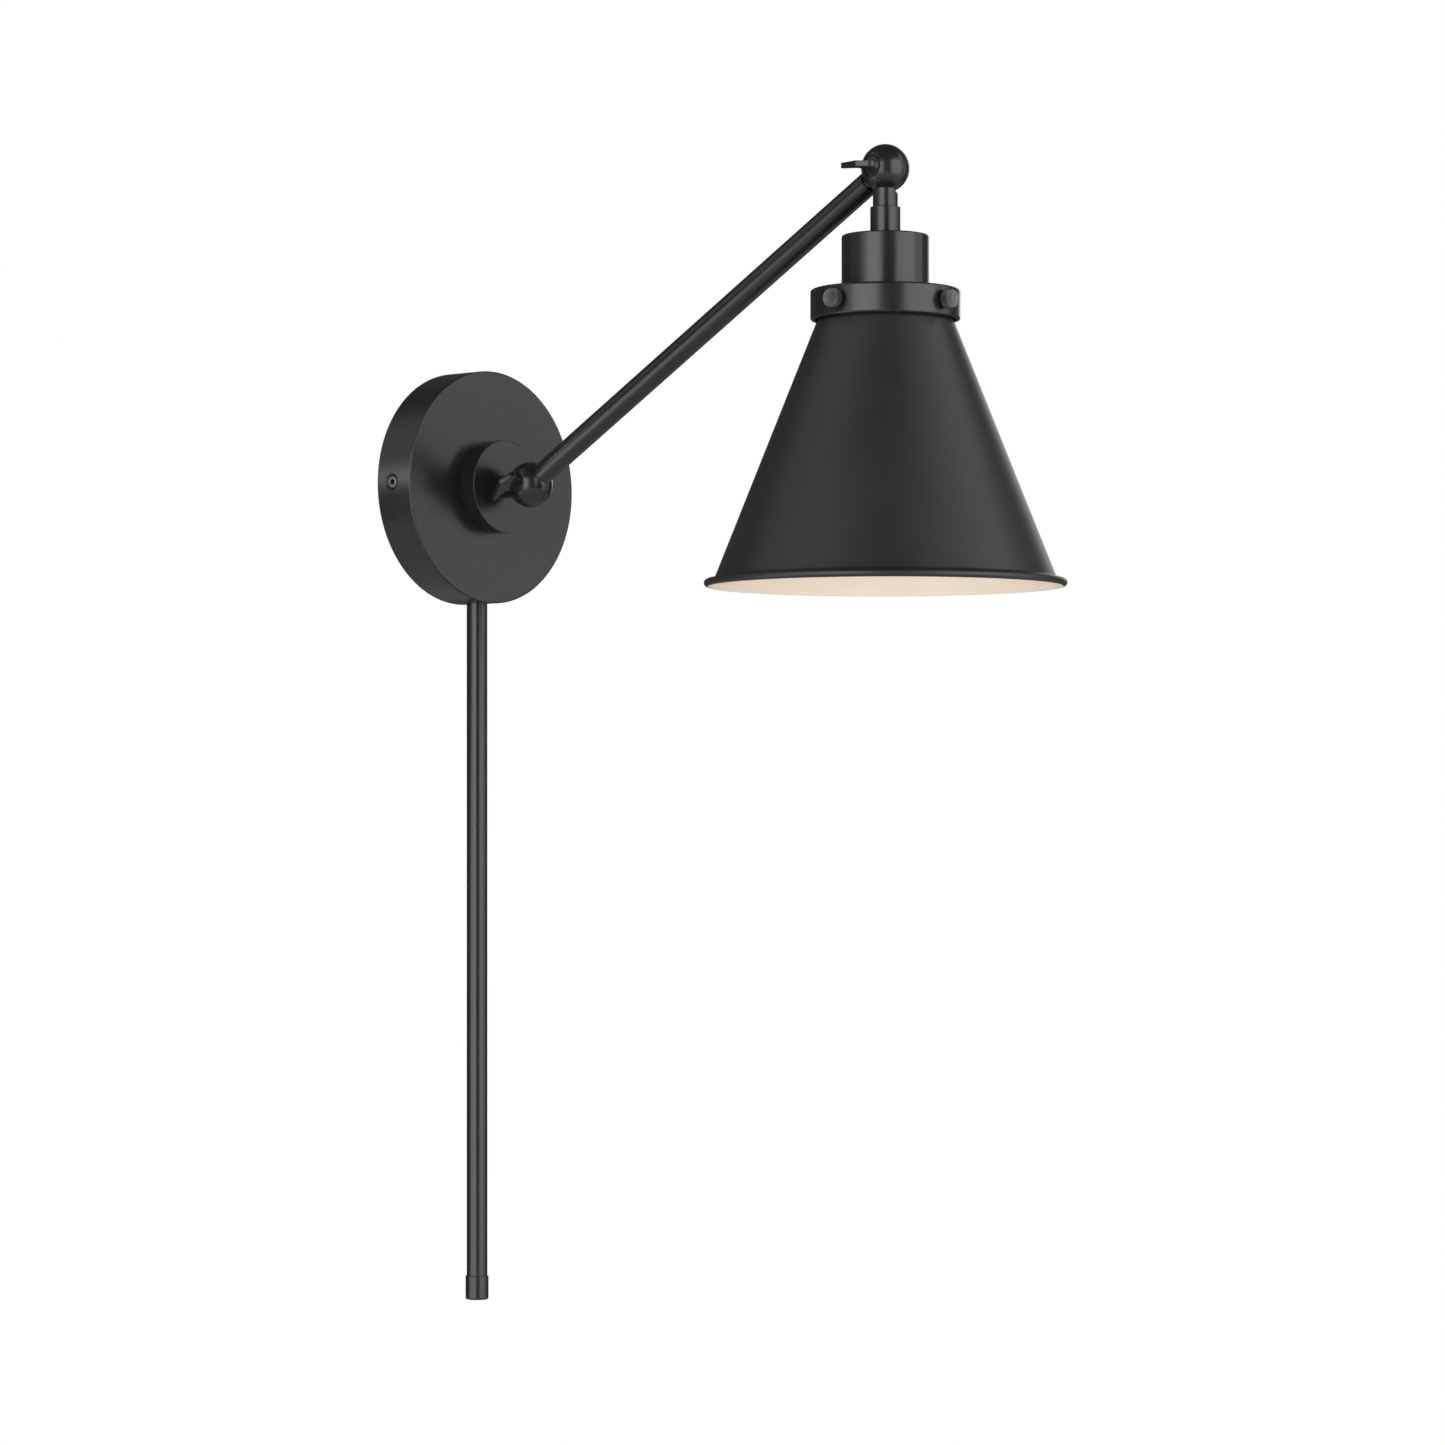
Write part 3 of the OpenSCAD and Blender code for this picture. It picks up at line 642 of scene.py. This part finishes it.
camera_data = bpy.data.cameras.new("camera")
camera_data.sensor_width = 36
camera_data.lens = 4500 * PX * 36
camera_data.shift_y = 0.082
camera = bpy.data.objects.new("camera", camera_data)
camera.location = CAMERA_AT
camera.rotation_euler = (math.pi / 2, 0, CAMERA_YAW)
bpy.context.scene.collection.objects.link(camera)
bpy.context.scene.camera = camera

floor_mesh = bpy.data.meshes.new("floor")
floor_z = cad_low.z - FLOOR_DROP
floor_mesh.from_pydata(
    [(FLOOR_R * math.cos(a), -0.2 + FLOOR_R * math.sin(a), floor_z)
     for a in (2 * math.pi * k / 96 for k in range(96))], [], [tuple(range(96))])
floor_mesh.materials.append(FLOOR_MATERIAL)
floor = bpy.data.objects.new("floor", floor_mesh)
bpy.context.scene.collection.objects.link(floor)

LIT_POINT = Vector((0, -0.2, 0.0))


def softbox(
    name, bearing, spread_deg, height_deg, elevation, distance, radiance, target=LIT_POINT,
):
    """A soft light at a bearing in degrees from the camera's side, positive to its right."""
    toward_camera = CAMERA_AT - target
    base = math.atan2(toward_camera.y, toward_camera.x)
    yaw = base + math.radians(bearing)
    lift = math.radians(elevation)
    direction = Vector((
        math.cos(yaw) * math.cos(lift), math.sin(yaw) * math.cos(lift), math.sin(lift)))
    data = bpy.data.lights.new(name, "AREA")
    data.shape = "RECTANGLE"
    data.size = 2 * distance * math.tan(math.radians(spread_deg / 2))
    data.size_y = 2 * distance * math.tan(math.radians(height_deg / 2))
    data.energy = radiance * math.pi * data.size * data.size_y
    light = bpy.data.objects.new(name, data)
    light.location = target + direction * distance
    light.rotation_euler = (-direction).to_track_quat("-Z", "Y").to_euler()
    light.visible_camera = False
    bpy.context.scene.collection.objects.link(light)
    return light


softbox("key_left", -31, 42, 52, 4, 2.6, 3.4)
softbox("fill_left", -82, 50, 50, 36, 2.6, 0.5)
softbox("key_right", 54, 54, 62, 6, 2.6, 2.7)
softbox("wing_right", 97, 24, 84, 6, 2.6, 1.2)
softbox("strip_left", -74, 22, 32, -22, 1.1, 2.0)
softbox("side_left", -60, 12, 52, 6, 2.6, 1.1)

# a small strip close to the canopy, which lights its side and not the arm or the head
CANOPY_SIDE = Vector((low("backplate").x, (low("backplate").y + high("backplate").y) / 2, 0))
strip = softbox("canopy_strip", -83, 24, 20, 8, 0.15, 0.1, CANOPY_SIDE)
strip.data.spread = math.radians(20)

# behind the wall's plane, so that the parts inside the canopy show from the back
back_fill = softbox("back_fill", -135, 7, 7, 0, 0.35, 0.6, Vector((0, 0, 0)))
back_fill.data.spread = math.radians(18)

# light coming back up off the floor
BOUNCE_R = 0.8
BOUNCE_RADIANCE = 0.175
bounce = bpy.data.lights.new("floor_light", "AREA")
bounce.shape = "DISK"
bounce.size = 2 * BOUNCE_R
bounce.energy = BOUNCE_RADIANCE * math.pi * math.pi * BOUNCE_R ** 2
floor_light = bpy.data.objects.new("floor_light", bounce)
floor_light.location = (0, -0.3, floor_z + 0.01)
floor_light.rotation_euler = (math.pi, 0, 0)
floor_light.visible_camera = False
floor_light.visible_glossy = False
bpy.context.scene.collection.objects.link(floor_light)

ROOM_DIM = 0.08
ROOM_GLOW = 2.0
GLOW_TOWARD = (0.864, 0.431, 0.259)
GLOW_FROM = 0.945
WHITE = (1, 1, 1, 1)
world = bpy.data.worlds.new("studio")
bpy.context.scene.world = world
world.use_nodes = True
tree = world.node_tree
tree.nodes.clear()
path = tree.nodes.new("ShaderNodeLightPath")
seen = tree.nodes.new("ShaderNodeBackground")
seen.inputs["Color"].default_value = WHITE
room = tree.nodes.new("ShaderNodeBackground")
room.inputs["Color"].default_value = WHITE

# the room is dim, and brighter behind the lamp to its right
where = tree.nodes.new("ShaderNodeTexCoord")
facing = tree.nodes.new("ShaderNodeVectorMath")
facing.operation = "DOT_PRODUCT"
facing.inputs[1].default_value = GLOW_TOWARD
glow = tree.nodes.new("ShaderNodeMapRange")
glow.inputs["From Min"].default_value = GLOW_FROM
glow.inputs["From Max"].default_value = 1.0
glow.inputs["To Min"].default_value = ROOM_DIM
glow.inputs["To Max"].default_value = ROOM_GLOW
tree.links.new(where.outputs["Generated"], facing.inputs[0])
tree.links.new(facing.outputs["Value"], glow.inputs["Value"])
tree.links.new(glow.outputs["Result"], room.inputs["Strength"])
either = tree.nodes.new("ShaderNodeMixShader")
output = tree.nodes.new("ShaderNodeOutputWorld")
tree.links.new(path.outputs["Is Camera Ray"], either.inputs[0])
tree.links.new(room.outputs[0], either.inputs[1])
tree.links.new(seen.outputs[0], either.inputs[2])
tree.links.new(either.outputs[0], output.inputs["Surface"])
bpy.context.scene.view_settings.view_transform = "Standard"
